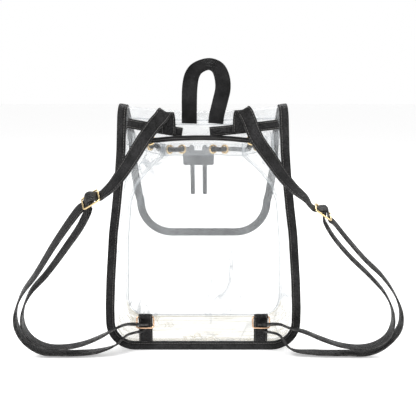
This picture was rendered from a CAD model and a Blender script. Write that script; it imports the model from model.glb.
import math

import bpy
from mathutils import Matrix, Vector, noise


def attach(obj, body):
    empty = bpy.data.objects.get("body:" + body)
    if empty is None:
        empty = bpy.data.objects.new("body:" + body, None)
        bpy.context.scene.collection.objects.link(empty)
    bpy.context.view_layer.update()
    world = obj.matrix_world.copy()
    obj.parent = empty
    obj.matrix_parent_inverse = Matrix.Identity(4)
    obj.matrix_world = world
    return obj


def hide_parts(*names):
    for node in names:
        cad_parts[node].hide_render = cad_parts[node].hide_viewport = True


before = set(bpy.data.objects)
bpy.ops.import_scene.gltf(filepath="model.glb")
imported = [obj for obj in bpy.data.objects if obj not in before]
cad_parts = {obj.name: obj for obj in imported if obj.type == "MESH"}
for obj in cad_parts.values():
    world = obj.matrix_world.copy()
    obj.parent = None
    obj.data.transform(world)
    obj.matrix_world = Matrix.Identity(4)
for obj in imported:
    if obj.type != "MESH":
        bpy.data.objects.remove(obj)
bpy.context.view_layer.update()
print("frame loaded")

# Lengths are in millimetres up to addMesh, which turns them into metres
view = {"away": 750, "side": 6, "height": 314, "pitch": 10, "lens": 54.3}

cameraData = bpy.data.cameras.new("photoView")
cameraData.lens = view["lens"]
cameraData.sensor_width = 36
cameraData.clip_end = 200
camera = bpy.data.objects.new("photoView", cameraData)
camera.location = (view["side"] / 1000, -(62.5 + view["away"]) / 1000, view["height"] / 1000)
camera.rotation_euler = (math.radians(90 - view["pitch"]), 0, 0)
bpy.context.collection.objects.link(camera)
bpy.context.scene.camera = camera

studio = {
    "skySeen": 1.0,
    "skyLight": 0.62,
    "key": {"place": (-1.1, -1.3, 2.1), "size": 0.9, "power": 38},
    "fill": {"place": (1.6, -1.1, 1.2), "size": 0.7, "power": 9},
    "back": {"place": (0.4, 1.7, 1.9), "size": 1.1, "power": 22},
    "floorRadius": 30,
}

bpy.context.scene.view_settings.view_transform = "Standard"
bpy.context.scene.cycles.transparent_max_bounces = 48
world = bpy.data.worlds.new("studioSky")
world.use_nodes = True
sky = world.node_tree.nodes["Background"]
sky.inputs["Color"].default_value = (1, 1, 1, 1)
skyRay = world.node_tree.nodes.new("ShaderNodeLightPath")
skyLevel = world.node_tree.nodes.new("ShaderNodeMapRange")  # the plain backdrop is brighter than its light
skyLevel.inputs["To Min"].default_value = studio["skyLight"]
skyLevel.inputs["To Max"].default_value = studio["skySeen"]
world.node_tree.links.new(skyRay.outputs["Is Camera Ray"], skyLevel.inputs["Value"])
world.node_tree.links.new(skyLevel.outputs[0], sky.inputs["Strength"])
bpy.context.scene.world = world
for lampName in ("key", "fill", "back"):
    lamp = studio[lampName]
    lampData = bpy.data.lights.new(lampName, "AREA")
    lampData.size = lamp["size"]
    lampData.energy = lamp["power"]
    lampObject = bpy.data.objects.new(lampName, lampData)
    lampObject.location = lamp["place"]
    aim = Vector((0, 0, 0.16)) - Vector(lamp["place"])
    lampObject.rotation_euler = aim.to_track_quat("-Z", "Y").to_euler()
    bpy.context.collection.objects.link(lampObject)


def deselectAll():
    for other in bpy.context.selected_objects:
        other.select_set(False)


def activate(piece):
    deselectAll()
    piece.select_set(True)
    bpy.context.view_layer.objects.active = piece


deselectAll()
bpy.ops.mesh.primitive_circle_add(vertices=96, radius=studio["floorRadius"], fill_type="NGON")
floor = bpy.context.object
floor.name = "studioFloor"
print("camera, light and floor ready")


# Node helpers


def joinSockets(tree, value, socket):
    if isinstance(value, bpy.types.NodeSocket):
        tree.links.new(value, socket)
    elif value is not None:
        socket.default_value = value


def mathNode(tree, operation, first, second=None, third=None, clamp=False):
    node = tree.nodes.new("ShaderNodeMath")
    node.operation = operation
    node.use_clamp = clamp
    for socket, value in zip(node.inputs, (first, second, third)):
        joinSockets(tree, value, socket)
    return node.outputs[0]


def rangeNode(tree, value, low, high, outLow=0.0, outHigh=1.0, smooth=True):
    node = tree.nodes.new("ShaderNodeMapRange")
    node.interpolation_type = "SMOOTHSTEP" if smooth else "LINEAR"
    for socketName, given in (
        ("Value", value),
        ("From Min", low),
        ("From Max", high),
        ("To Min", outLow),
        ("To Max", outHigh),
    ):
        joinSockets(tree, given, node.inputs[socketName])
    return node.outputs[0]


def noiseNode(tree, vector, scale, detail=3.0, roughness=0.55, distortion=0.0):
    node = tree.nodes.new("ShaderNodeTexNoise")
    joinSockets(tree, vector, node.inputs["Vector"])
    joinSockets(tree, scale, node.inputs["Scale"])
    node.inputs["Detail"].default_value = detail
    node.inputs["Roughness"].default_value = roughness
    node.inputs["Distortion"].default_value = distortion
    return node.outputs["Fac"]


def mixColour(tree, factor, first, second):
    node = tree.nodes.new("ShaderNodeMix")
    node.data_type = "RGBA"
    joinSockets(tree, factor, node.inputs[0])
    joinSockets(tree, first, node.inputs[6])
    joinSockets(tree, second, node.inputs[7])
    return node.outputs[2]


def stretched(tree, vector, scale, turn=(0, 0, 0)):
    node = tree.nodes.new("ShaderNodeMapping")
    joinSockets(tree, vector, node.inputs["Vector"])
    node.inputs["Scale"].default_value = scale
    node.inputs["Rotation"].default_value = turn
    return node.outputs[0]


def newGroup(name, inputs, outputs):
    group = bpy.data.node_groups.new(name, "ShaderNodeTree")
    for socketName, kind, value in inputs:
        socket = group.interface.new_socket(name=socketName, in_out="INPUT", socket_type=kind)
        if value is not None:
            socket.default_value = value
    for socketName in outputs:
        group.interface.new_socket(name=socketName, in_out="OUTPUT", socket_type="NodeSocketFloat")
    return group, group.nodes.new("NodeGroupInput"), group.nodes.new("NodeGroupOutput")


def useGroup(tree, group, **values):
    node = tree.nodes.new("ShaderNodeGroup")
    node.node_tree = group
    for socketName, value in values.items():
        joinSockets(tree, value, node.inputs[socketName])
    return node.outputs


vectorSocket = "NodeSocketVector"
floatSocket = "NodeSocketFloat"


def makePebbleGrain():
    group, start, end = newGroup(
        "pebbleGrain",
        [("Place", vectorSocket, None), ("Cells", floatSocket, 1000.0)],
        ["Height", "Valley", "Mottle"],
    )
    warp = group.nodes.new("ShaderNodeTexNoise")
    group.links.new(start.outputs["Place"], warp.inputs["Vector"])
    warp.inputs["Scale"].default_value = 420
    warped = group.nodes.new("ShaderNodeVectorMath")
    warped.operation = "MULTIPLY_ADD"
    group.links.new(warp.outputs["Color"], warped.inputs[0])
    warped.inputs[1].default_value = (0.0009, 0.0009, 0.0009)
    group.links.new(start.outputs["Place"], warped.inputs[2])
    cells = group.nodes.new("ShaderNodeTexVoronoi")
    cells.feature = "SMOOTH_F1"
    cells.inputs["Smoothness"].default_value = 0.35
    group.links.new(warped.outputs[0], cells.inputs["Vector"])
    group.links.new(start.outputs["Cells"], cells.inputs["Scale"])
    hill = mathNode(group, "SUBTRACT", 1.0, cells.outputs["Distance"])
    fine = noiseNode(group, start.outputs["Place"], 2600, 4)
    height = mathNode(group, "MULTIPLY_ADD", fine, 0.22, hill)
    group.links.new(height, end.inputs["Height"])
    valley = rangeNode(group, cells.outputs["Distance"], 0.42, 0.78)
    group.links.new(valley, end.inputs["Valley"])
    mottle = rangeNode(group, noiseNode(group, start.outputs["Place"], 46, 5, 0.6), 0.3, 0.72)
    group.links.new(mottle, end.inputs["Mottle"])
    return group


def makeStitchRow():
    group, start, end = newGroup(
        "stitchRow",
        [
            ("Across", floatSocket, 0.0),
            ("Along", floatSocket, 0.0),
            ("Offset", floatSocket, 6.6),
            ("Pitch", floatSocket, 3.4),
            ("Width", floatSocket, 0.75),
        ],
        ["Thread", "Height"],
    )
    side = mathNode(group, "ABSOLUTE", start.outputs["Across"])
    away = mathNode(group, "ABSOLUTE", mathNode(group, "SUBTRACT", side, start.outputs["Offset"]))
    half = mathNode(group, "MULTIPLY", start.outputs["Width"], 0.5)
    outer, inner = (mathNode(group, "MULTIPLY", half, share) for share in (1.25, 0.7))
    line = rangeNode(group, away, outer, inner)
    step = mathNode(group, "FRACT", mathNode(group, "DIVIDE", start.outputs["Along"], start.outputs["Pitch"]))
    fromMiddle = mathNode(group, "ABSOLUTE", mathNode(group, "SUBTRACT", step, 0.5))
    dash = rangeNode(group, fromMiddle, 0.41, 0.35)
    thread = mathNode(group, "MULTIPLY", line, dash, clamp=True)
    group.links.new(thread, end.inputs["Thread"])
    trench = rangeNode(group, away, half, mathNode(group, "MULTIPLY", half, 3.2), -0.7, 0.0)
    group.links.new(mathNode(group, "MULTIPLY_ADD", thread, 1.25, trench), end.inputs["Height"])
    return group


def makeEdgeWear():
    group, start, end = newGroup(
        "edgeWear",
        [
            ("Place", vectorSocket, None),
            ("Across", floatSocket, 0.0),
            ("Half", floatSocket, 8.75),
            ("Reach", floatSocket, 0.9),
        ],
        ["Wear"],
    )
    side = mathNode(group, "ABSOLUTE", start.outputs["Across"])
    inside = mathNode(group, "SUBTRACT", start.outputs["Half"], side)
    near = rangeNode(group, inside, start.outputs["Reach"], 0.0)
    patches = rangeNode(group, noiseNode(group, start.outputs["Place"], 150, 5, 0.65), 0.4, 0.66)
    group.links.new(mathNode(group, "MULTIPLY", near, patches), end.inputs["Wear"])
    return group


def makeSheetCreases():
    group, start, end = newGroup(
        "sheetCreases",
        [("Place", vectorSocket, None), ("Scale", floatSocket, 14.0)],
        ["Crease", "Haze", "Height"],
    )
    tilted = stretched(group, start.outputs["Place"], (1.0, 0.55, 0.42), (0.3, 0.2, 0.5))
    wave = noiseNode(group, tilted, start.outputs["Scale"], 3.5, 0.5, 1.4)
    ridge = mathNode(group, "ABSOLUTE", mathNode(group, "SUBTRACT", wave, 0.5))
    sharp = rangeNode(group, ridge, 0.03, 0.0)
    patch = rangeNode(group, noiseNode(group, start.outputs["Place"], 9, 2), 0.46, 0.68)
    group.links.new(mathNode(group, "MULTIPLY", sharp, patch), end.inputs["Crease"])
    haze = rangeNode(group, noiseNode(group, tilted, 21, 5, 0.6), 0.42, 0.8)
    group.links.new(haze, end.inputs["Haze"])
    group.links.new(mathNode(group, "MULTIPLY_ADD", sharp, 0.5, wave), end.inputs["Height"])
    return group


def makeFineScratches():
    group, start, end = newGroup(
        "fineScratches", [("Place", vectorSocket, None)], ["Scratch", "Tarnish"]
    )
    drawn = stretched(group, start.outputs["Place"], (90, 2600, 2600), (0.4, 0.7, 0.2))
    strands = noiseNode(group, drawn, 1, 4, 0.7)
    group.links.new(rangeNode(group, strands, 0.52, 0.7), end.inputs["Scratch"])
    blotches = noiseNode(group, start.outputs["Place"], 260, 5)
    group.links.new(rangeNode(group, blotches, 0.42, 0.7), end.inputs["Tarnish"])
    return group


pebbleGrain = makePebbleGrain()
stitchRow = makeStitchRow()
edgeWear = makeEdgeWear()
sheetCreases = makeSheetCreases()
fineScratches = makeFineScratches()


def newMaterial(name):
    material = bpy.data.materials.new(name)
    material.use_nodes = True
    tree = material.node_tree
    shader = tree.nodes["Principled BSDF"]
    place = tree.nodes.new("ShaderNodeTexCoord")
    pattern = tree.nodes.new("ShaderNodeSeparateXYZ")
    tree.links.new(place.outputs["UV"], pattern.inputs[0])
    return material, tree, shader, place.outputs["Object"], pattern.outputs


def bumpInto(tree, shader, height, distance, strength=1.0):
    bump = tree.nodes.new("ShaderNodeBump")
    bump.inputs["Distance"].default_value = distance
    bump.inputs["Strength"].default_value = strength
    tree.links.new(height, bump.inputs["Height"])
    tree.links.new(bump.outputs[0], shader.inputs["Normal"])


leather = {
    "dark": (0.0022, 0.0021, 0.0023, 1),
    "lit": (0.03, 0.0293, 0.0305, 1),
    "worn": (0.13, 0.127, 0.124, 1),
    "thread": (0.16, 0.155, 0.15, 1),
    "valley": (0.0008, 0.0008, 0.0008, 1),
    "cells": 520,
    "roughness": (0.32, 0.62),
    "specular": 0.24,
    "bump": 0.0015,
}


def leatherMaterial(name, half=None, stitchAt=None, pitch=3.2, centre=0.0, cells=None):
    material, tree, shader, place, pattern = newMaterial(name)
    grain = useGroup(tree, pebbleGrain, Place=place, Cells=cells or leather["cells"])
    colour = mixColour(tree, grain["Mottle"], leather["dark"], leather["lit"])
    shade = mathNode(tree, "MULTIPLY", grain["Valley"], 0.65)
    colour = mixColour(tree, shade, colour, leather["valley"])
    roughness = rangeNode(tree, grain["Mottle"], 0.0, 1.0, *leather["roughness"])
    height = grain["Height"]
    if half is not None:
        across = mathNode(tree, "SUBTRACT", pattern["X"], centre)
        wear = useGroup(tree, edgeWear, Place=place, Across=across, Half=half)
        colour = mixColour(tree, mathNode(tree, "MULTIPLY", wear["Wear"], 0.7), colour, leather["worn"])
    if stitchAt is not None:
        across = mathNode(tree, "SUBTRACT", pattern["X"], centre)
        stitch = useGroup(tree, stitchRow, Across=across, Along=pattern["Y"], Offset=stitchAt, Pitch=pitch)
        colour = mixColour(tree, stitch["Thread"], colour, leather["thread"])
        height = mathNode(tree, "MULTIPLY_ADD", stitch["Height"], 1.5, height)
    tree.links.new(colour, shader.inputs["Base Color"])
    tree.links.new(roughness, shader.inputs["Roughness"])
    shader.inputs["Specular IOR Level"].default_value = leather["specular"]
    bumpInto(tree, shader, height, leather["bump"], 1.0)
    return material


clearSheet = {
    "tint": (0.74, 0.77, 0.79, 1),
    "crease": (0.4, 0.43, 0.46, 1),
    "warm": (0.72, 0.67, 0.54, 1),
    "alpha": 0.07,
    "roughness": 0.09,
}


def clearMaterial(
    name, creaseScale=14.0, creases=0.2, haze=0.05, edge=0.4, hemAt=None, rimAt=None, base=False
):
    material, tree, shader, place, pattern = newMaterial(name)
    marks = useGroup(tree, sheetCreases, Place=place, Scale=creaseScale)
    colour = mixColour(tree, marks["Crease"], clearSheet["tint"], clearSheet["crease"])
    alpha = mathNode(tree, "MULTIPLY_ADD", marks["Crease"], creases, clearSheet["alpha"])
    alpha = mathNode(tree, "MULTIPLY_ADD", marks["Haze"], haze, alpha)
    for line in (hemAt, rimAt):
        if line is None:
            continue
        along = pattern["X"] if line is hemAt else pattern["Y"]
        away = mathNode(tree, "ABSOLUTE", mathNode(tree, "SUBTRACT", along, line["at"]))
        mask = rangeNode(tree, away, line["width"], line["width"] * 0.4)
        band = rangeNode(tree, along, line["at"] + 0.5, line["at"])
        alpha = mathNode(tree, "MULTIPLY_ADD", mask, line["line"], alpha)
        alpha = mathNode(tree, "MULTIPLY_ADD", band, line["band"], alpha)
        colour = mixColour(tree, mask, colour, clearSheet["crease"])
    if base:
        under = rangeNode(tree, pattern["Y"], 262.0, 290.0)
        colour = mixColour(tree, under, colour, clearSheet["warm"])
        streak = rangeNode(tree, noiseNode(tree, stretched(tree, place, (14, 160, 160)), 1, 4), 0.45, 0.7)
        alpha = mathNode(tree, "MULTIPLY_ADD", mathNode(tree, "MULTIPLY", under, streak), 0.24, alpha)
    facing = tree.nodes.new("ShaderNodeLayerWeight")
    facing.inputs["Blend"].default_value = 0.35
    grazing = mathNode(tree, "POWER", facing.outputs["Facing"], 2.6)
    alpha = mathNode(tree, "MULTIPLY_ADD", grazing, edge, alpha, clamp=True)
    tree.links.new(colour, shader.inputs["Base Color"])
    tree.links.new(alpha, shader.inputs["Alpha"])
    roughness = rangeNode(tree, marks["Haze"], 0.0, 1.0, clearSheet["roughness"], 0.24)
    tree.links.new(roughness, shader.inputs["Roughness"])
    bumpInto(tree, shader, marks["Height"], 0.0011, 0.5)
    return material


def metalMaterial(name, bright, dull, roughness):
    material, tree, shader, place, pattern = newMaterial(name)
    marks = useGroup(tree, fineScratches, Place=place)
    colour = mixColour(tree, mathNode(tree, "MULTIPLY", marks["Tarnish"], 0.55), bright, dull)
    tree.links.new(colour, shader.inputs["Base Color"])
    rough = rangeNode(tree, marks["Scratch"], 0.0, 1.0, roughness, roughness + 0.16)
    tree.links.new(rough, shader.inputs["Roughness"])
    shader.inputs["Metallic"].default_value = 1.0
    bumpInto(tree, shader, marks["Scratch"], 0.00002, 0.5)
    return material


strapLeather = leatherMaterial("stitchedStrapLeather", half=8.75, stitchAt=6.7)
handleLeather = leatherMaterial("stitchedHandleLeather", half=9.0, stitchAt=6.9)
handleBacking = leatherMaterial("handleBackingLeather", cells=1500)
bindingLeather = leatherMaterial("bindingLeather", half=11.0, stitchAt=8.7)
anchorLeather = leatherMaterial("anchorLeather", half=5.25, stitchAt=3.9, pitch=2.8)
tabLeather = leatherMaterial("tabLeather", half=8.5, stitchAt=6.6, pitch=2.8)
cordLeather = leatherMaterial("cordLeather", stitchAt=0.01, pitch=2.6, cells=1250)
lockLeather = leatherMaterial("lockLeather", cells=950)
backClear = clearMaterial("clearBackSheet", 11.0, creases=0.16, haze=0.05)
sideClear = clearMaterial(
    "clearGusset",
    16.0,
    creases=0.34,
    haze=0.1,
    hemAt={"at": 2.6, "width": 0.7, "line": 0.5, "band": 0.2},
    rimAt={"at": 16.0, "width": 0.8, "line": 0.22, "band": 0.1},
    base=True,
)
frontClear = clearMaterial(
    "clearFrontPanel",
    16.0,
    creases=0.36,
    haze=0.13,
    hemAt={"at": 2.6, "width": 0.7, "line": 0.5, "band": 0.2},
    rimAt={"at": 16.0, "width": 0.8, "line": 0.22, "band": 0.1},
)
stripClear = clearMaterial(
    "clearHandleStrip",
    18.0,
    haze=0.06,
    hemAt={"at": 1.1, "width": 0.55, "line": 0.4, "band": 0.16},
)
snapClear = clearMaterial("clearSnap", 20.0, creases=0.05, haze=0.02, edge=0.2)
paleGold = metalMaterial("paleGold", (0.86, 0.66, 0.36, 1), (0.62, 0.45, 0.22, 1), 0.2)
roseGold = metalMaterial("roseGold", (0.84, 0.55, 0.36, 1), (0.6, 0.36, 0.22, 1), 0.22)

floorMaterial, floorTree, floorShader, floorPlace, _ = newMaterial("paleFloor")
floorShade = mixColour(
    floorTree, noiseNode(floorTree, floorPlace, 3.0, 3), (0.9, 0.9, 0.9, 1), (0.925, 0.925, 0.925, 1)
)
floorTree.links.new(floorShade, floorShader.inputs["Base Color"])
floorShader.inputs["Roughness"].default_value = 0.7
floorShader.inputs["Emission Color"].default_value = (1, 1, 1, 1)
floorShader.inputs["Emission Strength"].default_value = 0.4
floor.data.materials.append(floorMaterial)
print("materials ready")


# Mesh helpers


def addMesh(name, points, faces, corners=None, materials=(), slots=None):
    mesh = bpy.data.meshes.new(name)
    mesh.from_pydata([tuple(0.001 * value for value in point) for point in points], [], faces)
    if corners is not None:
        layer = mesh.uv_layers.new(name="run")
        flat = [value for face in corners for pair in face for value in pair]
        layer.data.foreach_set("uv", flat)
    for material in materials:
        mesh.materials.append(material)
    if slots is not None:
        mesh.polygons.foreach_set("material_index", slots)
    mesh.validate()
    mesh.update()
    piece = bpy.data.objects.new(name, mesh)
    bpy.context.collection.objects.link(piece)
    return piece


def smoothPiece(piece, degrees=50):
    activate(piece)
    bpy.ops.object.shade_smooth_by_angle(angle=math.radians(degrees))


def outwardNormals(piece):
    activate(piece)
    bpy.ops.object.mode_set(mode="EDIT")
    bpy.ops.mesh.select_all(action="SELECT")
    bpy.ops.mesh.remove_doubles(threshold=0.000002)
    bpy.ops.mesh.normals_make_consistent(inside=False)
    bpy.ops.object.mode_set(mode="OBJECT")


def applyModifiers(piece):
    activate(piece)
    for modifier in list(piece.modifiers):
        bpy.ops.object.modifier_apply(modifier=modifier.name)


def seat(piece, slotName, *nodes):
    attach(piece, "root")
    if nodes:
        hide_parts(*nodes)


# Sheet through a grid of (point, run) pairs, given its thickness by Solidify
def sheetPiece(name, grid, thickness, material):
    rows, columns = len(grid), len(grid[0])
    points = [point for row in grid for point, _ in row]
    runs = [run for row in grid for _, run in row]
    faces, corners = [], []
    for i in range(rows - 1):
        for j in range(columns - 1):
            face = (i * columns + j, i * columns + j + 1, (i + 1) * columns + j + 1, (i + 1) * columns + j)
            faces.append(face)
            corners.append([runs[k] for k in face])
    piece = addMesh(name, points, faces, corners, [material])
    solidify = piece.modifiers.new("sheetThickness", "SOLIDIFY")
    solidify.thickness = thickness / 1000
    solidify.offset = 0
    applyModifiers(piece)
    outwardNormals(piece)
    smoothPiece(piece, 60)
    return piece


# Faces and pattern corners of a section swept through runs. Each side of the section has a pair of
# pattern places, and the caps have one for each of its points.
def sweptFaces(pairs, runs, caps):
    count = len(pairs)
    faces, corners = [], []
    for i, (low, high) in enumerate(zip(runs, runs[1:])):
        for j, (a, b) in enumerate(pairs):
            k = (j + 1) % count
            faces.append((i * count + j, i * count + k, (i + 1) * count + k, (i + 1) * count + j))
            corners.append([(a, low), (b, low), (b, high), (a, high)])
    for start, order in ((0, 1), ((len(runs) - 1) * count, -1)):
        faces.append(tuple(range(start, start + count))[::order])
        corners.append([(place, 0.0) for place in caps[::order]])
    return faces, corners


def smoothStep(value):
    t = min(max(value, 0.0), 1.0)
    return t * t * (3 - 2 * t)


def lerp(low, high, share):
    return low + (high - low) * share


def spread(low, high, count):
    return [lerp(low, high, i / count) for i in range(count + 1)]


# Value at a place along a table of (place, value) rows, straight or eased between them
def fromTable(rows, place, eased=False):
    if place <= rows[0][0]:
        return rows[0][1]
    for (lowPlace, lowValue), (highPlace, highValue) in zip(rows, rows[1:]):
        if place <= highPlace:
            share = (place - lowPlace) / (highPlace - lowPlace)
            return lerp(lowValue, highValue, smoothStep(share) if eased else share)
    return rows[-1][1]


body = {
    "height": 305,
    "halfWidth": 122,
    "depth": 125,
    "cornerRadius": 36,
    "frontCorner": 28,
    "frontBulge": 6,
    "sideBulge": 4,
    "baseRise": 0.2,
    "wall": 1.2,
    "gap": 0.3,
    "visibleWall": 0.6,
    "outline": [
        (0.18, 1),
        (0.3, 0.984),
        (0.384, 0.967),
        (0.49, 0.946),
        (0.603, 0.908),
        (0.728, 0.871),
        (0.826, 0.849),
        (1, 0.828),
    ],
}
flapHalfWidth = 96
flap = {
    "foldRadius": 16,
    "sag": 7,
    "reachBack": 50,
    "reachFlap": 90,
    "slope": math.radians(25),
    "shoulder": 30,
    "drop": 114,
    "halfWidth": flapHalfWidth,
    "corner": 50,
    "clearance": 7,
    "outline": [
        (0, 0.828),
        (0.45, 0.855),
        (0.72, 0.868),
        (0.95, 0.81),
        (1, flapHalfWidth / body["halfWidth"]),
    ],
}
binding = {"width": 11, "wall": 1.2, "rootClearance": 0.9, "seamClearance": 0.6}

backFace = -body["depth"] / 2
sheetPlane = backFace + body["wall"] / 2
rootPlane = backFace + body["wall"] + body["gap"]
seamPlane = body["depth"] / 2 - body["wall"] - binding["seamClearance"]
flapPlane = body["depth"] / 2 + body["frontBulge"] + flap["clearance"] + body["wall"] / 2
bindingInset = binding["width"] + binding["rootClearance"] + body["wall"] / 2
bindingThickness = body["wall"] + 2 * body["gap"] + 2 * binding["wall"]
collarShare = (bindingThickness / 2 + body["gap"]) / (seamPlane - rootPlane)
foldAt = body["height"] - flap["foldRadius"] + flap["foldRadius"] * math.pi / 2
slopeRun = flapPlane - flap["shoulder"] * (1 - math.sin(flap["slope"])) - sheetPlane
slopeRun -= flap["foldRadius"] * (1 + math.sin(flap["slope"]))
slopeLength = slopeRun / math.cos(flap["slope"])
foldTurn = math.pi / 2 + flap["slope"]
shoulderTurn = math.pi / 2 - flap["slope"]
profileStretches = [
    (body["height"] - flap["foldRadius"], 0),
    (flap["foldRadius"] * foldTurn, foldTurn),
    (slopeLength, 0),
    (flap["shoulder"] * shoulderTurn, shoulderTurn),
    (flap["drop"], 0),
]
sheetLength = sum(length for length, _ in profileStretches)


def profileAt(along):
    y, z, heading, left = sheetPlane, 0.0, math.pi / 2, along
    for length, turn in profileStretches:
        run = min(left, length)
        if turn == 0:
            y += run * math.cos(heading)
            z += run * math.sin(heading)
        else:
            radius = length / turn
            bend = run / radius
            y += radius * (math.sin(heading) - math.sin(heading - bend))
            z += radius * (math.cos(heading - bend) - math.cos(heading))
            heading -= bend
        left -= run
        if left <= 0:
            break
    return y, z, heading


def backHalfWidth(height):
    return body["halfWidth"] * fromTable(body["outline"], height / body["height"])


def sheetHalfWidth(along, inset):
    def rounded(wide, radius, fromEdge):
        return wide - radius + math.sqrt(max((radius - inset) ** 2 - (radius - fromEdge) ** 2, 0))

    if along < body["cornerRadius"]:
        return rounded(backHalfWidth(body["cornerRadius"]), body["cornerRadius"], along)
    if sheetLength - along < flap["corner"]:
        return rounded(flap["halfWidth"], flap["corner"], sheetLength - along)
    if along <= foldAt:
        return backHalfWidth(along) - inset
    share = (along - foldAt) / (sheetLength - flap["corner"] - foldAt)
    return body["halfWidth"] * fromTable(flap["outline"], share) - inset


def sagAt(x, along):
    reach = flap["reachBack"] if along < foldAt else flap["reachFlap"]
    near = 1 - smoothStep(abs(along - foldAt) / reach)
    return flap["sag"] * near * max(1 - (x / backHalfWidth(body["height"])) ** 2, 0)


def onSheet(x, along, out):
    y, z, heading = profileAt(along)
    return Vector((x, y - out * math.sin(heading), z + out * math.cos(heading) - sagAt(x, along)))


def sheetPlaces(inset, step):
    def quarter(radius, count):
        return [radius - (radius - inset) * math.cos(a) for a in spread(0, math.pi / 2, count)]

    rounded, ending = quarter(body["cornerRadius"], 9), quarter(flap["corner"], 12)
    straight = sheetLength - flap["corner"] - body["cornerRadius"]
    middle = spread(body["cornerRadius"], sheetLength - flap["corner"], round(straight / step))
    return rounded[:-1] + middle + [sheetLength - place for place in reversed(ending)][1:]


sheetWave = {"height": 0.9, "x": 0.021, "along": 0.012, "edge": 26, "seed": 3.7}
sheetStill = {"from": 240, "to": 312, "fadeBack": 30, "fadeFlap": 60}


# Slow waves of the loose part of the sheet, still at its edges and where the leather is sewn on
def waveAt(x, along, fromEdge):
    wave = noise.noise(Vector((x * sheetWave["x"], along * sheetWave["along"], sheetWave["seed"])))
    still = smoothStep(fromEdge / sheetWave["edge"])
    if along < foldAt:
        still *= smoothStep((sheetStill["from"] - along) / sheetStill["fadeBack"])
    else:
        still *= smoothStep((along - sheetStill["to"]) / sheetStill["fadeFlap"])
    return sheetWave["height"] * wave * still


def makeBackSheet():
    inset = binding["wall"] + body["gap"]
    grid = []
    for along in sheetPlaces(inset, 4):
        wide = sheetHalfWidth(along, inset)
        row = []
        for share in spread(-1, 1, 40):
            fromEdge = min(wide * (1 - abs(share)), along, sheetLength - along)
            point = onSheet(share * wide, along, waveAt(share * wide, along, fromEdge))
            row.append((point, (share * wide, along)))
        grid.append(row)
    return sheetPiece("clear_back_and_flap", grid, body["visibleWall"], backClear)


seat(makeBackSheet(), "clear_pvc", "back_sheet")

bindingSection = [
    (0, 0),
    (0.2, 1.2),
    (0.8, 1.85),
    (2, 2.1),
    (5, 2.18),
    (8, 2.05),
    (8.7, 1.7),
    (9.4, 2.02),
    (10.5, 1.95),
    (11, 1.5),
]


def makeBinding(name, places):
    outer = [(-sheetHalfWidth(along, 0), along) for along in places]
    path = outer + [(-x, along) for x, along in reversed(outer)]
    dense = [path[0]]
    for (x0, a0), (x1, a1) in zip(path, path[1:]):
        steps = max(1, round(math.hypot(x1 - x0, a1 - a0) / 6))
        dense += [(lerp(x0, x1, k / steps), lerp(a0, a1, k / steps)) for k in range(1, steps + 1)]
    section = bindingSection + [(deep, -out) for deep, out in reversed(bindingSection[1:])]
    points, runs, run = [], [], 0.0
    for i, (x, along) in enumerate(dense):
        before, after = dense[max(i - 1, 0)], dense[min(i + 1, len(dense) - 1)]
        heading = Vector((after[0] - before[0], after[1] - before[1])).normalized()
        inward = Vector((-heading.y, heading.x))
        if inward.dot(Vector((-x, sheetLength / 2 - along))) < 0:
            inward.negate()
        points += [onSheet(x + deep * inward.x, along + deep * inward.y, out) for deep, out in section]
        run += 0 if i == 0 else math.dist(dense[i], dense[i - 1])
        runs.append(run)
    depths = [deep for deep, _ in section]
    faces, corners = sweptFaces(list(zip(depths, depths[1:] + depths[:1])), runs, depths)
    piece = addMesh(name, points, faces, corners, [bindingLeather])
    outwardNormals(piece)
    smoothPiece(piece, 60)
    return piece


sheetStops = sheetPlaces(0, 5)
backStops = [foldAt - 0.15] + [along for along in reversed(sheetStops) if along < foldAt - 1]
flapStops = [foldAt + 0.15] + [along for along in sheetStops if along > foldAt + 1]
seat(makeBinding("back_edge_binding", backStops), "black_leather", "back_binding")
seat(makeBinding("flap_edge_binding", flapStops), "black_leather", "flap_binding")
print("back sheet, flap and bindings made")

rimHalfWidth = 54
mouth = {
    "rimBack": 276,
    "rimFront": 254,
    "band": 16,
    "bulge": 10,
    "pleatDepth": 5,
    "pleatReach": 85,
    "seam": [
        (0, 0.92, 1),
        (0.46, 0.9, 1),
        (0.66, 0.86, 0.985),
        (0.76, 0.79, 0.93),
        (0.86, 0.62, 0.78),
        (0.937, rimHalfWidth / body["halfWidth"], 0.64),
        (1, rimHalfWidth / body["halfWidth"], 0.64),
    ],
    "sidePleats": [
        (0, 0),
        (collarShare, 0),
        (0.09, 0.8),
        (0.18, -0.8),
        (0.27, 0.8),
        (0.36, -0.8),
        (0.45, 0.8),
        (0.53, 0.2),
        (0.6, 0),
        (0.76, 0),
        (0.85, -1),
        (0.93, 0),
        (1, 0),
    ],
    "frontPleats": [
        (-1, 0),
        (-0.93, -0.85),
        (-0.74, 0.85),
        (-0.63, 0.85),
        (-0.425, -0.85),
        (-0.33, 0),
        (0.04, 0),
        (0.135, -0.85),
        (0.33, 0.85),
        (0.43, 0.85),
        (0.625, -0.85),
        (0.7, -0.85),
        (0.8, 0.4),
        (1, 0),
    ],
    "ripple": 0.8,
}


def seamAt(height):
    share = height / mouth["rimFront"]
    half = body["halfWidth"] * fromTable([(up, wide) for up, wide, _ in mouth["seam"]], share)
    away = fromTable([(up, deep) for up, _, deep in mouth["seam"]], share)
    return half, seamPlane - body["depth"] * (1 - away)


def pleatFade(fromRim):
    return 1 - smoothStep((fromRim - mouth["band"]) / (mouth["pleatReach"] - mouth["band"]))


# Small gathers between the pleats, which the hemmed rim holds flat
def rippleAt(across, fromRim, seed):
    opening = smoothStep((fromRim - mouth["band"]) / 14) * pleatFade(fromRim * 0.7)
    return mouth["ripple"] * opening * noise.noise(Vector((across * 0.16, fromRim * 0.012, seed)))


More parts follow.
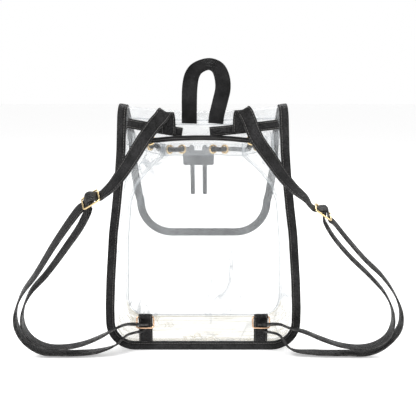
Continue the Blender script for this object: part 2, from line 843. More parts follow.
# Height of the base and radius of its corner, at a share of the way from the root to the seam
def baseCorner(share):
    rootRise = 1 - smoothStep((share - collarShare) / body["baseRise"])
    bottom = body["wall"] / 2 + rootRise * (bindingInset - body["wall"] / 2)
    return bottom, lerp(body["cornerRadius"] - bindingInset, body["frontCorner"], share)


def gussetPoint(kind, value, sign, share, fold):
    bottom, radius = baseCorner(share)
    rim = lerp(mouth["rimBack"], mouth["rimFront"], share)
    cornerTop = bottom + radius
    height, fromRim = bottom, rim
    if kind == "side":
        fromRim = value
        height = rim - fromRim
    level = height * mouth["rimFront"] / rim
    rootHalf = backHalfWidth(max(height, cornerTop)) - bindingInset
    seamHalf, seamY = seamAt(max(level, cornerTop))
    bulge = body["sideBulge"] * math.sin(math.pi * share) * (1 - pleatFade(fromRim))
    half = lerp(rootHalf, seamHalf, share**1.2) + bulge
    y = lerp(rootPlane, seamY, share)
    if kind == "side":
        rimHalf, rimY = seamAt(mouth["rimFront"])
        rootRim = backHalfWidth(mouth["rimBack"]) - bindingInset
        run = Vector((rimY - rootPlane, rootRim - rimHalf)).normalized()
        lift = fold * mouth["pleatDepth"] * pleatFade(fromRim)
        lift += rippleAt(share * 125, fromRim, 5.1 * sign) * math.sin(math.pi * share)
        return Vector((sign * (half + lift * run.x), y + lift * run.y, height))
    if kind == "corner":
        x = half - radius + radius * math.cos(value)
        return Vector((sign * x, y, cornerTop - radius * math.sin(value)))
    return Vector((value * (half - radius), y, bottom))


baseSway = {"height": 0.9, "x": 0.012, "y": 0.06, "seed": 8.0}


def makeGusset():
    shares = [collarShare * i / 3 for i in range(3)] + spread(collarShare, 1, 64)
    folds = [fromTable(mouth["sidePleats"], share, True) for share in shares]
    stations = [("side", share, -1) for share in spread(0, 1, 46)]
    stations += [("corner", angle, -1) for angle in spread(0, math.pi / 2, 8)[1:]]
    rightStations = [(kind, value, 1) for kind, value, _ in reversed(stations)]
    stations += [("base", value, 1) for value in spread(-1, 1, 24)[1:-1]] + rightStations
    grid = []
    for kind, value, sign in stations:
        row = []
        for share, fold in zip(shares, folds):
            rim = lerp(mouth["rimBack"], mouth["rimFront"], share)
            fromRim = value * (rim - sum(baseCorner(share))) if kind == "side" else 300.0
            place = fromRim if kind == "side" else value
            point = gussetPoint(kind, place, sign, share, fold)
            if kind == "base":
                place = Vector((point.x * baseSway["x"], point.y * baseSway["y"], baseSway["seed"]))
                sway = noise.noise(place)
                point.z += baseSway["height"] * abs(sway) * math.sin(math.pi * share)
            toSeam = (1 - share) * (seamPlane - rootPlane)
            row.append((point, (toSeam, fromRim)))
        grid.append(row)
    return sheetPiece("clear_gusset", grid, body["visibleWall"], sideClear)


def frontPoint(share, fold, height):
    half, seamY = seamAt(max(height, body["frontCorner"]))
    bottom = body["wall"] / 2
    corner = body["frontCorner"]
    above = height - bottom
    if above < corner:
        half = seamAt(bottom + corner)[0] - corner + math.sqrt(max(corner**2 - (corner - above) ** 2, 0))
    gathered = pleatFade(mouth["rimFront"] - height)
    bulge = lerp(body["frontBulge"], mouth["bulge"], gathered) * smoothStep(height / (2 * corner))
    y = seamY + binding["seamClearance"] + body["wall"] / 2 + bulge * (1 - share**2)
    return Vector((share * half, y + fold * mouth["pleatDepth"] * gathered, height))


frontSway = {"height": 1.3, "x": 0.016, "up": 0.02, "seed": 6.4, "from": 12, "over": 40}


def makeFrontPanel():
    bottom, corner = body["wall"] / 2, body["frontCorner"]
    heights = [bottom + corner * (1 - math.cos(angle)) for angle in spread(0, math.pi / 2, 9)]
    heights += spread(bottom + corner, mouth["rimFront"], 74)[1:]
    shares = spread(-1, 1, 110)
    folds = [fromTable(mouth["frontPleats"], share) for share in shares]
    grid = []
    for height in heights:
        row = []
        for share, fold in zip(shares, folds):
            point = frontPoint(share, fold, height)
            fromRim = mouth["rimFront"] - height
            loose = 1 - share**2
            point.y += rippleAt(point.x, fromRim, 2.3) * loose
            place = Vector((point.x * frontSway["x"], height * frontSway["up"], frontSway["seed"]))
            wave = noise.noise(place)
            free = smoothStep((height - frontSway["from"]) / frontSway["over"]) * (1 - pleatFade(fromRim))
            point.y += frontSway["height"] * wave * loose * free
            fromSide = seamAt(max(height, corner))[0] * (1 - abs(share))
            row.append((point, (min(fromSide, height), fromRim)))
        grid.append(row)
    return sheetPiece("clear_front", grid, body["visibleWall"], frontClear)


seat(makeGusset(), "clear_pvc", "gusset")
seat(makeFrontPanel(), "clear_pvc", "front_panel")
print("gusset and front panel made")


# Ribbons of leather through rows that give the middle, the direction across, the width and the thickness


def roundedSpline(points, index, share):
    p1, p2 = points[index], points[index + 1]
    p0 = points[index - 1] if index > 0 else p1 * 2 - p2
    p3 = points[index + 2] if index + 2 < len(points) else p2 * 2 - p1
    steps = [math.sqrt((b - a).length) for a, b in ((p0, p1), (p1, p2), (p2, p3))]
    d1 = steps[1] if steps[1] > 1e-4 else 1.0
    d0 = steps[0] if steps[0] > 1e-4 else d1
    d2 = steps[2] if steps[2] > 1e-4 else d1
    t1 = ((p1 - p0) / d0 - (p2 - p0) / (d0 + d1) + (p2 - p1) / d1) * d1
    t2 = ((p2 - p1) / d1 - (p3 - p1) / (d1 + d2) + (p3 - p2) / d2) * d1
    s2, s3 = share * share, share**3
    return p1 * (2 * s3 - 3 * s2 + 1) + t1 * (s3 - 2 * s2 + share) + p2 * (3 * s2 - 2 * s3) + t2 * (s3 - s2)


def softened(values, passes):
    for _ in range(passes):
        inner = [(a + b * 2 + c) / 4 for a, b, c in zip(values, values[1:], values[2:])]
        values = [values[0]] + inner + [values[-1]]
    return values


def ribbonFrames(rows, step, passes):
    points = [row["at"] for row in rows]
    middles, sides, sizes = [], [], []
    for i in range(len(rows) - 1):
        count = max(2, round((points[i + 1] - points[i]).length / step))
        for k in range(count + (i == len(rows) - 2)):
            share = k / count
            middles.append(roundedSpline(points, i, share))
            sides.append(rows[i]["across"].lerp(rows[i + 1]["across"], share))
            wide = lerp(rows[i]["wide"], rows[i + 1]["wide"], share)
            sizes.append(Vector((wide, lerp(rows[i]["thick"], rows[i + 1]["thick"], share))))
    middles, sides, sizes = softened(middles, passes), softened(sides, passes * 2), softened(sizes, passes)
    frames, run = [], 0.0
    for i, (middle, side, size) in enumerate(zip(middles, sides, sizes)):
        heading = (middles[min(i + 1, len(middles) - 1)] - middles[max(i - 1, 0)]).normalized()
        across = (side - heading * side.dot(heading)).normalized()
        run += 0 if i == 0 else (middle - middles[i - 1]).length
        frames.append((middle, across, heading.cross(across), size, run))
    return frames


# Half of the leather's section, from its middle to its edge: place as a share of the half width,
# depth as a share of the half thickness. The dip is the row of stitches.
strapSection = [
    (0, 1.08),
    (0.4, 1.07),
    (0.66, 1.02),
    (0.765, 0.82),
    (0.86, 1.0),
    (0.93, 0.9),
    (0.98, 0.55),
    (1, 0),
]


def ribbonPiece(name, rows, step, material, backing=None, passes=2):
    half = strapSection
    section = [(-a, b) for a, b in reversed(half)] + half[1:]
    section += [(a, -b) for a, b in reversed(half[:-1])] + [(-a, -b) for a, b in half[1:-1]]
    frames = ribbonFrames(rows, step, passes)
    points = []
    for middle, across, out, size, _ in frames:
        points += [middle + across * (a * size.x / 2) + out * (b * size.y / 2) for a, b in section]
    wide = rows[0]["wide"] / 2
    around = list(zip(section, section[1:] + section[:1]))
    pairs = [(a * wide, b * wide) for (a, _), (b, _) in around]
    faces, corners = sweptFaces(pairs, [frame[4] for frame in frames], [0.0] * len(section))
    sideSlots = [1 if backing and a + b < -0.5 else 0 for (_, a), (_, b) in around]
    slots = sideSlots * (len(frames) - 1) + [0, 0]
    piece = addMesh(name, points, faces, corners, [material] + ([backing] if backing else []), slots)
    outwardNormals(piece)
    smoothPiece(piece, 55)
    return piece


layers = {
    "anchorWidth": 11.5,
    "anchorThickness": 1.6,
    "stripWidth": 8,
    "stripThickness": 0.8,
    "stripHeight": 288,
    "stripHalfLength": 86,
    "anchors": {
        "left": {"sign": -1, "outerUp": 0.934, "innerUp": 0.897, "inner": 0.2},
        "right": {"sign": 1, "outerUp": 0.929, "innerUp": 0.9, "inner": 0.066},
    },
}
stripOut = body["wall"] / 2 + body["gap"] + layers["stripThickness"] / 2
leatherSeat = stripOut + layers["stripThickness"] / 2 + body["gap"]


# Row of a band that lies on the sheet, at a distance out from its middle
def rowOnSheet(x, along, sideX, sideAlong, out, wide, thick):
    low = onSheet(x - sideX, along - sideAlong, out)
    high = onSheet(x + sideX, along + sideAlong, out)
    return {"at": onSheet(x, along, out), "across": (high - low).normalized(), "wide": wide, "thick": thick}


def makeHandleStrip():
    half = layers["stripWidth"] / 2
    grid = []
    for x in spread(-layers["stripHalfLength"], layers["stripHalfLength"], 60):
        row = []
        for side in spread(-1, 1, 8):
            lift = stripOut + 0.12 * (1 - side**2)
            row.append((onSheet(x, layers["stripHeight"] + side * half, lift), (half * (1 - abs(side)), x)))
        grid.append(row)
    return sheetPiece("clear_handle_strip", grid, layers["stripThickness"] * 0.8, stripClear)


def makeAnchor(side):
    row = layers["anchors"][side]
    outerUp, innerUp = row["outerUp"] * body["height"], row["innerUp"] * body["height"]
    outer = backHalfWidth(outerUp) - binding["width"] - layers["anchorThickness"]
    start = Vector((row["sign"] * outer, outerUp))
    end = Vector((row["sign"] * row["inner"] * body["halfWidth"], innerUp))
    normal = Vector((start.y - end.y, end.x - start.x)).normalized()
    out = leatherSeat + layers["anchorThickness"] / 2
    rows = []
    for share in spread(0, 1, 8):
        x, along = start.lerp(end, share)
        rows.append(
            rowOnSheet(x, along, normal.x, normal.y, out, layers["anchorWidth"], layers["anchorThickness"])
        )
    return ribbonPiece(f"anchor_leather_{side}", rows, 2.5, anchorLeather, passes=0)


handle = {
    "width": 18,
    "thickness": 2.2,
    "rise": 68.5,
    "seat": 283.5,
    "halfSpan": 16,
    "away": 8,
    "lean": Vector((0, -0.65, -0.76)),
    "route": [  # across, up, away and the turn in degrees
        (-1.01, 0, 0, 0),
        (-1, 0.12, 0, 0),
        (-0.99, 0.36, 0.45, 1),
        (-0.94, 0.62, 1, 6),
        (-0.8, 0.8, 1, 20),
        (-0.53, 0.905, 1, 43),
        (-0.12, 0.965, 1, 66),
        (0.5, 1, 1, 97),
        (1.08, 0.935, 1, 137),
        (1.38, 0.79, 1, 165),
        (1.46, 0.6, 1, 183),
        (1.26, 0.38, 0.6, 190),
        (1, 0.12, 0, 184),
        (0.95, 0, 0, 180),
    ],
}


def makeHandle():
    out = leatherSeat + handle["thickness"] / 2
    rows = []
    for across, up, away, turn in handle["route"]:
        angle = math.radians(turn)
        y = sheetPlane - out - away * handle["away"]
        at = Vector((across * handle["halfSpan"], y, handle["seat"] + up * handle["rise"]))
        side = Vector((math.cos(angle), 0, 0)) + handle["lean"] * math.sin(angle)
        rows.append({"at": at, "across": side, "wide": handle["width"], "thick": handle["thickness"]})
    return ribbonPiece("leather_carry_handle", rows, 1.6, handleLeather, handleBacking, passes=4)


tab = {"width": 17, "thickness": 1.8, "height": 48.5, "centre": 72, "return": 24}
ring = {"wire": 2.2, "clearance": 0.6, "width": 23, "height": 16, "tilt": math.radians(28)}
tabBack = body["wall"] / 2 + body["gap"] + tab["thickness"] / 2
tabLoop = ring["wire"] / 2 + ring["clearance"] + tab["thickness"] / 2
ringTopOut = tabBack + tabLoop
ringTopUp = tab["height"] - tabLoop - tab["thickness"] / 2


def makeTab(side, sign):
    front = tabBack + tab["thickness"] + body["gap"]
    places = [
        (tabBack, binding["width"] + binding["rootClearance"]),
        (tabBack, (binding["width"] + ringTopUp) / 2),
        (tabBack, ringTopUp - tabLoop),
    ]
    for angle in spread(math.pi, 0, 5):
        places.append((ringTopOut + tabLoop * math.cos(angle), ringTopUp + tabLoop * math.sin(angle)))
    places += [
        ((ringTopOut + tabLoop + front) / 2, ringTopUp - tabLoop),
        (front, ringTopUp - 2 * tabLoop - tab["thickness"]),
        (front, tab["height"] - tab["return"]),
    ]
    rows = []
    for out, up in places:
        at = Vector((sign * tab["centre"], sheetPlane - out, up))
        rows.append({"at": at, "across": Vector((1, 0, 0)), "wide": tab["width"], "thick": tab["thickness"]})
    return ribbonPiece(f"leather_tab_{side}", rows, 1.0, tabLeather, passes=0)


seat(makeHandleStrip(), "clear_pvc", "handle_strip")
seat(makeHandle(), "black_leather", "handle")
for side, sign in (("left", -1), ("right", 1)):
    seat(makeAnchor(side), "black_leather", f"anchor_strip_{side}")
    seat(makeTab(side, sign), "black_leather", f"lower_tab_{side}")
print("handle, anchor strips and tabs made")

strap = {
    "width": 17.5,
    "thickness": 2.2,
    "reach": 240,
    "standoff": 38,
    "sewnLap": math.radians(25),
    "bunchedWidth": 7,
    "bunchedThickness": 2.8,
}
slide = {"wire": 2.2, "length": 24, "width": 23}
# Each row gives side and up as shares of the reach and of the height, the stand-off and the turn
strapRoutes = {
    "left": {
        "sign": -1,
        "start": (0.336, 0.89),
        "slide": (0.544, 0.646, 0.79, 58),
        "slideRun": 32,
        "upper": [
            (0.202, 0.956, 0.35, 12),
            (0.226, 0.936, 0.4, 14),
            (0.254, 0.908, 0.44, 16),
            (0.294, 0.864, 0.5, 20),
            (0.34, 0.806, 0.57, 24),
            (0.392, 0.745, 0.64, 32),
            (0.441, 0.696, 0.71, 46),
        ],
        "outer": [
            (0.632, 0.576, 0.87, 57),
            (0.722, 0.476, 0.95, 62),
            (0.818, 0.358, 1, 68),
            (0.896, 0.275, 0.95, 76),
            (0.936, 0.196, 0.84, 84),
            (0.94, 0.138, 0.74, 88),
            (0.915, 0.084, 0.66, 90),
            (0.87, 0.042, 0.58, 90),
            (0.81, 0.0165, 0.53, 90),
            (0.735, 0.0125, 0.52, 90),
            (0.64, 0.0125, 0.51, 90),
            (0.54, 0.019, 0.48, 86),
            (0.45, 0.042, 0.44, 74),
        ],
        "inner": [
            (0.44, 0.116, 0.44, 102),
            (0.52, 0.082, 0.48, 94),
            (0.62, 0.051, 0.52, 92),
            (0.72, 0.0385, 0.545, 92),
            (0.8, 0.043, 0.56, 92),
            (0.86, 0.068, 0.6, 92),
            (0.896, 0.108, 0.68, 92),
            (0.908, 0.158, 0.77, 94),
            (0.894, 0.216, 0.86, 98),
            (0.85, 0.286, 0.94, 106),
            (0.766, 0.36, 0.97, 112),
            (0.662, 0.468, 0.97, 117),
            (0.585, 0.556, 0.93, 121),
        ],
    },
    "right": {
        "sign": 1,
        "start": (0.361, 0.897),
        "slide": (0.585, 0.598, 0.8, 76),
        "slideRun": 35,
        "upper": [
            (0.222, 0.948, 0.35, 12),
            (0.236, 0.92, 0.41, 14),
            (0.263, 0.872, 0.46, 18),
            (0.33, 0.798, 0.54, 26),
            (0.392, 0.73, 0.62, 38),
            (0.446, 0.684, 0.69, 52),
            (0.5, 0.648, 0.75, 66),
        ],
        "outer": [
            (0.7, 0.498, 0.9, 76),
            (0.79, 0.418, 0.97, 77),
            (0.875, 0.354, 1, 79),
            (0.944, 0.28, 0.95, 82),
            (0.988, 0.2, 0.85, 86),
            (0.99, 0.134, 0.76, 88),
            (0.956, 0.08, 0.66, 90),
            (0.9, 0.036, 0.58, 90),
            (0.83, 0.0135, 0.53, 90),
            (0.73, 0.0125, 0.51, 90),
            (0.58, 0.0125, 0.47, 88),
            (0.45, 0.026, 0.43, 74),
        ],
        "inner": [
            (0.44, 0.115, 0.43, 104),
            (0.52, 0.1, 0.47, 94),
            (0.6, 0.074, 0.5, 92),
            (0.7, 0.048, 0.53, 92),
            (0.8, 0.0385, 0.555, 92),
            (0.876, 0.052, 0.6, 92),
            (0.932, 0.088, 0.67, 92),
            (0.953, 0.142, 0.76, 94),
            (0.945, 0.204, 0.85, 96),
            (0.9, 0.278, 0.92, 98),
            (0.82, 0.35, 0.96, 100),
            (0.71, 0.434, 0.94, 102),
            (0.625, 0.515, 0.92, 103),
        ],
    },
}
# The fold over the anchor strip in strap widths: side, up, away, and the lean in degrees
strapFold = [
    (0, 0, 0, 0),
    (0, 0.7, 0, 0),
    (0.03, 1.18, 0.08, 6),
    (0.1, 1.44, 0.24, 16),
    (0.26, 1.4, 0.42, 28),
]
# Passage over the middle bar of the slide: along, under a bar, over a bar
slidePassage = [
    (-1.45, 1.1, 0),
    (-1, 1.2, 0),
    (-0.55, 0, 0.22),
    (-0.25, 0, 0.92),
    (0, 0, 1.06),
    (0.25, 0, 0.92),
    (0.55, 0, 0.22),
    (1, 1.2, 0),
    (1.45, 1.1, 0),
]
# Passage round the lower bar of the ring: side, out, up and the direction across
ringPassage = [
    (0.98, 0.3, -3.3, (0, -0.97, 0.26)),
    (0.5, 0.5, -1.9, (0, -0.95, 0.3)),
    (0.2, -0.4, -1.75, (0.3, -0.9, 0.1)),
    (0.06, -1.25, -0.2, (0.9, -0.2, 0)),
    (-0.04, -0.8, 1.1, (1, 0, 0)),
    (0.04, 0.5, 1.7, (0.9, -0.4, 0)),
    (0.3, 1, 2, (0.3, -0.9, 0.1)),
    (0.62, 1, 2.1, (0, -0.97, 0.1)),
    (1, 0.8, 1.9, (0, -0.97, 0.2)),
]


def strapRow(at, across, bunched=False):
    wide = strap["bunchedWidth"] if bunched else strap["width"]
    thick = strap["bunchedThickness"] if bunched else strap["thickness"]
    return {"at": at, "across": across, "wide": wide, "thick": thick}


def routePlace(row, sign):
    side, up, away = row[:3]
    return Vector((sign * side * strap["reach"], backFace - away * strap["standoff"], up * body["height"]))


def acrossRoute(run, turn):
    angle = math.radians(turn)
    deep = Vector((0, 1, 0))
    return run.cross(deep).normalized() * math.cos(angle) + deep * math.sin(angle)


def routeRows(route, sign):
    places = [routePlace(row, sign) for row in route]
    rows = []
    for i, at in enumerate(places):
        run = places[min(i + 1, len(places) - 1)] - places[max(i - 1, 0)]
        rows.append(strapRow(at, acrossRoute(run, sign * route[i][3])))
    return rows


def slideFrame(route):
    angle = math.radians(route["slideRun"])
    run = Vector((route["sign"] * math.cos(angle), 0, -math.sin(angle)))
    across = acrossRoute(run, route["sign"] * route["slide"][3])
    return routePlace(route["slide"], route["sign"]), run, across, run.cross(across)


ringUp = Vector((0, math.sin(ring["tilt"]), math.cos(ring["tilt"])))
ringDrop = ring["height"] - ring["wire"]
slideHug = slide["wire"] / 2 + body["gap"] + strap["thickness"] / 2
slideOver = slideHug + body["gap"] + strap["thickness"]


def ringLowerBar(sign):
    return Vector((sign * tab["centre"], sheetPlane - ringTopOut, ringTopUp)) - ringUp * ringDrop


def makeStrap(side):
    route = strapRoutes[side]
    sign = route["sign"]
    centre, run, across, out = slideFrame(route)

    def slideRow(along, lift):
        return strapRow(centre + run * along + out * lift, across)

    rows = []
    strapOut = leatherSeat + layers["anchorThickness"] + body["gap"] + strap["thickness"] / 2
    for foldSide, up, away, leanDegrees in strapFold:
        lean = math.radians(leanDegrees)
        x = sign * (route["start"][0] * body["halfWidth"] + foldSide * strap["width"])
        z = route["start"][1] * body["height"] + up * strap["width"]
        at = Vector((x, sheetPlane - strapOut - away * strap["width"], z))
        rows.append(strapRow(at, Vector((math.cos(lean), 0, sign * math.sin(lean)))))
    rows += routeRows(route["upper"], sign)
    reach = (slide["length"] - slide["wire"]) / 2
    for along, under, over in slidePassage:
        rows.append(slideRow(along * reach, over * slideOver - under * slideHug))
    rows += routeRows(route["outer"], sign)
    bar = ringLowerBar(sign)
    hug = ring["wire"] / 2 + body["gap"] + strap["bunchedThickness"] / 2
    for barSide, barOut, barUp, (a, b, c) in ringPassage:
        at = bar + Vector((sign * barSide * ring["width"], -barOut * hug, barUp * hug))
        rows.append(strapRow(at, Vector((a, -sign * b, -sign * c)), True))
    rows += routeRows(route["inner"], sign)
    rows.append(slideRow(0.5 * reach, -2.5 * slideHug))
    for angle in spread(-strap["sewnLap"], math.pi + strap["sewnLap"], 6):
        rows.append(slideRow(slideHug * math.cos(angle), slideHug * math.sin(angle)))
    return ribbonPiece(f"leather_shoulder_strap_{side}", rows, 1.6, strapLeather, passes=1)


for side in ("left", "right"):
    seat(makeStrap(side), "black_leather", f"shoulder_strap_{side}")
print("shoulder straps made")


# Metal pieces: wire loops from a bevelled plane turned into a curve, and eyelets drawn out of a circle

metal = {"corner": 2.64, "cornerSteps": 6, "roundSteps": 3, "barSides": 16}


def placeMatrix(at, across, up):
    out = across.cross(up).normalized()
    turned = Matrix((across, up, out)).transposed().to_4x4()
    turned.translation = at / 1000
    return turned


def wireLoop(name, wide, tall, wire, material):
    deselectAll()
    bpy.ops.mesh.primitive_plane_add(size=1)
    piece = bpy.context.object
    piece.name = name
    bpy.ops.object.mode_set(mode="EDIT")
    bpy.ops.mesh.select_all(action="SELECT")
    bpy.ops.transform.resize(value=((wide - wire) / 1000, (tall - wire) / 1000, 1))
    bpy.ops.mesh.bevel(offset=metal["corner"] / 1000, segments=metal["cornerSteps"], affect="VERTICES")
    bpy.ops.mesh.delete(type="ONLY_FACE")
    bpy.ops.object.mode_set(mode="OBJECT")
    bpy.ops.object.convert(target="CURVE")
    piece.data.bevel_depth = wire / 2000
    piece.data.bevel_resolution = metal["roundSteps"]
    bpy.ops.object.convert(target="MESH")
    piece.data.materials.clear()
    piece.data.materials.append(material)
    return piece


def wireBar(name, length, wire, material):
    deselectAll()
    bpy.ops.mesh.primitive_cylinder_add(
        vertices=metal["barSides"], radius=wire / 2000, depth=length / 1000
    )
    piece = bpy.context.object
    piece.name = name
    piece.data.transform(Matrix.Rotation(math.pi / 2, 4, "Y"))
    piece.data.materials.append(material)
    return piece


def placedMesh(name, source, place, degrees=50):
    mesh = source.data.copy()
    mesh.transform(place)
    piece = bpy.data.objects.new(name, mesh)
    bpy.context.collection.objects.link(piece)
    outwardNormals(piece)
    smoothPiece(piece, degrees)
    return piece


slideLoop = wireLoop("slideSource", slide["width"], slide["length"], slide["wire"], paleGold)
slideBar = wireBar("slideBarSource", slide["width"] - slide["wire"], slide["wire"], paleGold)
activate(slideLoop)
slideBar.select_set(True)
bpy.ops.object.join()
ringLoop = wireLoop("ringSource", ring["width"], ring["height"], ring["wire"], roseGold)
for side, sign in (("left", -1), ("right", 1)):
    centre, run, across, _ = slideFrame(strapRoutes[side])
    buckle = placedMesh(f"gold_slide_{side}", slideLoop, placeMatrix(centre, across, run))
    seat(buckle, "gold_metal", f"slide_buckle_{side}")
    centre = ringLowerBar(sign) + ringUp * ringDrop / 2
    loop = placedMesh(f"gold_ring_{side}", ringLoop, placeMatrix(centre, Vector((1, 0, 0)), ringUp))
    seat(loop, "gold_metal", f"lower_ring_{side}")
for source in (slideLoop, ringLoop):
    bpy.data.objects.remove(source)
print("slides and rings made")

eyelet = {
    "hole": 3.8,
    "flange": 6.2,
    "barrel": 4.5,
    "inner": 0.9,
    "outer": 1.6,
    "round": 0.3,
    "sides": 32,
    "height": 246,  # middle of the front eyelets, and how far their cells reach up and down from it
    "reach": 8,
    "backHeight": 264,
    "backLeft": 63,
    "backRight": 58,
    "sideShares": (0.6, 0.76),
}
# Radius and height after each extrusion of the eyelet's ring
eyeletSteps = [
    (eyelet["flange"], -eyelet["outer"]),
    (eyelet["flange"], -eyelet["inner"]),
    (eyelet["barrel"], -eyelet["inner"]),
    (eyelet["barrel"], eyelet["inner"]),
    (eyelet["flange"], eyelet["inner"]),
    (eyelet["flange"], eyelet["outer"]),
    (eyelet["hole"], eyelet["outer"]),
    (eyelet["hole"], -eyelet["outer"]),
]


def makeEyeletSource():
    deselectAll()
    radius, height = eyelet["hole"], -eyelet["outer"]
    bpy.ops.mesh.primitive_circle_add(
        vertices=eyelet["sides"], radius=radius / 1000, location=(0, 0, height / 1000)
    )
    piece = bpy.context.object
    bpy.ops.object.transform_apply()
    bpy.ops.object.mode_set(mode="EDIT")
    bpy.ops.mesh.select_all(action="SELECT")
    for nextRadius, nextHeight in eyeletSteps:
        bpy.ops.mesh.extrude_edges_move()
        grow = nextRadius / radius
        bpy.ops.transform.resize(value=(grow, grow, 1), center_override=(0, 0, height / 1000))
        bpy.ops.transform.translate(value=(0, 0, (nextHeight - height) / 1000))
        radius, height = nextRadius, nextHeight
    bpy.ops.mesh.select_all(action="SELECT")
    bpy.ops.mesh.remove_doubles(threshold=0.00001)
    bpy.ops.mesh.normals_make_consistent(inside=False)
    bpy.ops.mesh.select_all(action="DESELECT")
    bpy.ops.mesh.edges_select_sharp(sharpness=math.radians(60))
    bpy.ops.mesh.bevel(offset=eyelet["round"] / 1000, segments=3)
    bpy.ops.object.mode_set(mode="OBJECT")
    piece.data.materials.append(paleGold)
    return piece


# Middle and outward direction of the four-cornered cell that an eyelet sits in
def cellPlace(corners, facing):
    centre = sum(corners, Vector()) / 4
    normal = (corners[3] - corners[0]).cross(corners[2] - corners[1]).normalized()
    return {"at": centre, "normal": normal if normal.dot(facing) > 0 else -normal}


def backEyelet(x):
    return {"at": onSheet(x, eyelet["backHeight"], 0), "normal": Vector((0, -1, 0))}


def sideEyelet(sign):
    corners = [
        gussetPoint("side", fromRim, sign, share, 0)
        for fromRim in (mouth["band"], 0)
        for share in eyelet["sideShares"]
    ]
    return cellPlace(corners, Vector((-sign, 0, 0)))


# The cell between two pleats of the front, counted from the left
def frontEyelet(first):
    pleats = mouth["frontPleats"][first : first + 2]
    heights = (eyelet["height"] - eyelet["reach"], eyelet["height"] + eyelet["reach"])
    corners = [frontPoint(share, fold, height) for height in heights for share, fold in pleats]
    return cellPlace(corners, Vector((0, 1, 0)))


eyeletPlaces = {
    "back_eyelet_left": backEyelet(-eyelet["backLeft"]),
    "back_eyelet_right": backEyelet(eyelet["backRight"]),
    "side_eyelet_left": sideEyelet(-1),
    "side_eyelet_right": sideEyelet(1),
    "front_eyelet_1": frontEyelet(1),
    "front_eyelet_2": frontEyelet(3),
    "front_eyelet_3": frontEyelet(7),
    "front_eyelet_4": frontEyelet(9),
}
eyeletSource = makeEyeletSource()
for name, place in eyeletPlaces.items():
    across = Vector((0, 0, 1)).cross(place["normal"]).normalized()
    up = place["normal"].cross(across)
    piece = placedMesh(f"gold_{name}", eyeletSource, placeMatrix(place["at"], across, up), 30)
    seat(piece, "gold_metal", name)
bpy.data.objects.remove(eyeletSource)
print("eyelets made")


# Drawstring with its two tails, and the lock that slides on them


def onShoulder(x, height, lift):
    half = seamAt(height)[0]
    low, high = frontPoint(x / half, 0, height - 1), frontPoint(x / half, 0, height + 1)
    out = Vector((1, 0, 0)).cross(low - high).normalized()
    return (low + high) / 2 + out * lift


cord = {
    "diameter": 6.0,
    "straight": 1.9,
    "lift": 6.4,
    "approach": 4.8,
    "archTop": 267,
    "archQuarter": 266.25,
    "turnIn": 0.1,  # how far the cord leans in on its way from the back eyelets to the side ones
    "tail": 52,
    "tailLift": 6.9,
    "tailShares": (0.2, 0.3825, 0.565, 0.7475, 0.93),
    "sides": 20,
    "step": 1.4,
    "groove": 0.07,
    "grooveSides": 0.8,
}
lock = {
    "centre": -7,
    "top": 237,
    "foot": 217,
    "lift": 6.7,
    "length": 20,
    "holes": 8.5,
    "before": (-6.6, 3.6),  # along and lift of the cord just above the lock
    "cordEnd": 9.85,
    "tailStart": 10.15,
}
lockTop = onShoulder(lock["centre"], lock["top"], 0)
lockDown = (onShoulder(lock["centre"], lock["foot"], 0) - lockTop).normalized()
lockOut = Vector((1, 0, 0)).cross(lockDown)
lockOut = lockOut if lockOut.y > 0 else -lockOut
lockOrigin = lockTop + lockOut * lock["lift"]


def inLock(side, along, lift):
    return lockOrigin + Vector((side * lock["holes"], 0, 0)) + lockDown * along + lockOut * lift


def flat(x, y):
    return Vector((x, y, 0)).normalized()


def thread(name, sense, before, after):
    at, normal = eyeletPlaces[name]["at"], eyeletPlaces[name]["normal"] * sense
    return [
        at + normal * cord["lift"] - before * cord["approach"],
        at + normal * cord["straight"],
        at - normal * cord["straight"],
        at - normal * cord["lift"] + after * cord["approach"],
    ]


def cordHalf(side, sign, first, second):
    quarter = eyeletPlaces[f"back_eyelet_{side}"]["at"].x / 2
    along, inward = flat(sign, 0), flat(-cord["turnIn"] * sign, 1)
    points = [
        Vector((0, backFace - cord["lift"], cord["archTop"])),
        Vector((quarter, backFace - cord["lift"], cord["archQuarter"])),
    ]
    points += thread(f"back_eyelet_{side}", 1, along, inward)
    points += thread(f"side_eyelet_{side}", -1, inward, flat(-0.5 * sign, 0.85))
    points.append(frontPoint(sign, 0, eyelet["height"]) + flat(sign, 1) * cord["lift"])
    points += thread(first, 1, flat(-sign, 0.3), -along)
    points += thread(second, -1, -along, -along)[:3]
    end = eyeletPlaces[second]
    points.append(end["at"] + end["normal"] * 1.2 * cord["lift"] - along * cord["diameter"])
    points += [inLock(sign, *lock["before"]), inLock(sign, 0, 0), inLock(sign, lock["cordEnd"], 0)]
    return points


def tailPath(side):
    foot = inLock(side, lock["length"], 0)
    x = lockOrigin.x + side * lock["holes"]
    drops = [share * cord["tail"] for share in cord["tailShares"]]
    hanging = [onShoulder(x, foot.z - drop, cord["tailLift"]) for drop in drops]
    return [inLock(side, lock["tailStart"], 0), foot] + hanging


def finePath(points, step):
    path = []
    for i in range(len(points) - 1):
        count = max(2, round((points[i + 1] - points[i]).length / step))
        path += [roundedSpline(points, i, k / count) for k in range(count)]
    return path + [points[-1]]


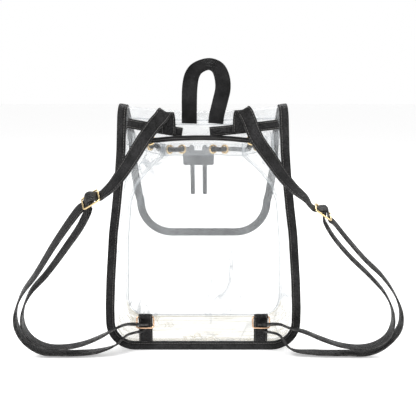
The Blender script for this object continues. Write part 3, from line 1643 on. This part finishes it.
# A round cord whose first side looks out of the bag, so that its seam runs along the outside
def makeCord(name, points):
    path = finePath(points, cord["step"])
    sides, radius = cord["sides"], cord["diameter"] / 2
    rings, runs = [], []
    for i, at in enumerate(path):
        heading = (path[min(i + 1, len(path) - 1)] - path[max(i - 1, 0)]).normalized()
        away = Vector((at.x, at.y * 1.6, 0.001))
        away = (away - heading * away.dot(heading)).normalized()
        side = heading.cross(away)
        runs.append(runs[-1] + (at - path[i - 1]).length if i else 0.0)
        for k in range(sides):
            angle = 2 * math.pi * k / sides
            dip = cord["groove"] * math.exp(-((min(k, sides - k) / cord["grooveSides"]) ** 2))
            rings.append(at + (away * math.cos(angle) + side * math.sin(angle)) * radius * (1 - dip))
    girth = 2 * math.pi * radius
    lows = [girth * (k / sides if k < sides / 2 else k / sides - 1) for k in range(sides)]
    pairs = [(low, low + girth / sides) for low in lows]
    faces, corners = sweptFaces(pairs, runs, [girth / 2] * sides)
    piece = addMesh(name, rings, faces, corners, [cordLeather])
    outwardNormals(piece)
    smoothPiece(piece, 50)
    return piece, [tuple(point / 1000) for point in path], runs[-1] / 1000


def declareCord(piece, length):
    print(f"{piece.name} {length:.4f} m")


leftHalf = cordHalf("left", -1, "front_eyelet_1", "front_eyelet_2")
rightHalf = cordHalf("right", 1, "front_eyelet_4", "front_eyelet_3")
drawstring, wholePath, wholeLength = makeCord("leather_drawstring", leftHalf[:0:-1] + rightHalf)
seat(drawstring, "black_leather", "drawstring")
for side, sign in (("left", -1), ("right", 1)):
    tail, path, length = makeCord(f"leather_tail_{side}", tailPath(sign))
    seat(tail, "black_leather", f"drawstring_tail_{side}")
    declareCord(tail, length)
declareCord(drawstring, wholeLength)


def softenEdges(piece, width, segments, degrees):
    edge = piece.modifiers.new("softEdge", "BEVEL")
    edge.width = width / 1000
    edge.segments = segments
    edge.limit_method = "ANGLE"
    edge.angle_limit = math.radians(degrees)
    applyModifiers(piece)
    smoothPiece(piece, 40)


lockCad = bpy.data.objects["cord_lock"]
lockMesh = lockCad.data.copy()
lockMesh.transform(lockCad.matrix_world)
lockMesh.materials.clear()
lockMesh.materials.append(lockLeather)
lockPiece = bpy.data.objects.new("leather_cord_lock", lockMesh)
bpy.context.collection.objects.link(lockPiece)
outwardNormals(lockPiece)
softenEdges(lockPiece, 0.9, 3, 40)
seat(lockPiece, "black_leather", "cord_lock")
print("cord and lock made")

# Hidden snap between the flap and the front panel
snap = {"radius": 7.0, "rise": 33, "gap": 0.9, "sides": 40}
snapHeight = profileAt(sheetLength)[1] + snap["rise"]
snapBack = frontPoint(0, 0, snapHeight).y + snap["gap"]
snapFront = flapPlane - snap["gap"]
deselectAll()
bpy.ops.mesh.primitive_cylinder_add(
    vertices=snap["sides"],
    radius=snap["radius"] / 1000,
    depth=(snapFront - snapBack) / 1000,
    rotation=(math.pi / 2, 0, 0),
    location=(0, (snapFront + snapBack) / 2000, snapHeight / 1000),
)
snapPiece = bpy.context.object
snapPiece.name = "clear_flap_snap"
bpy.ops.object.transform_apply()
softenEdges(snapPiece, 0.6, 2, 30)
snapPiece.data.materials.append(snapClear)
seat(snapPiece, "clear_pvc", "flap_snap")
print("snap made")
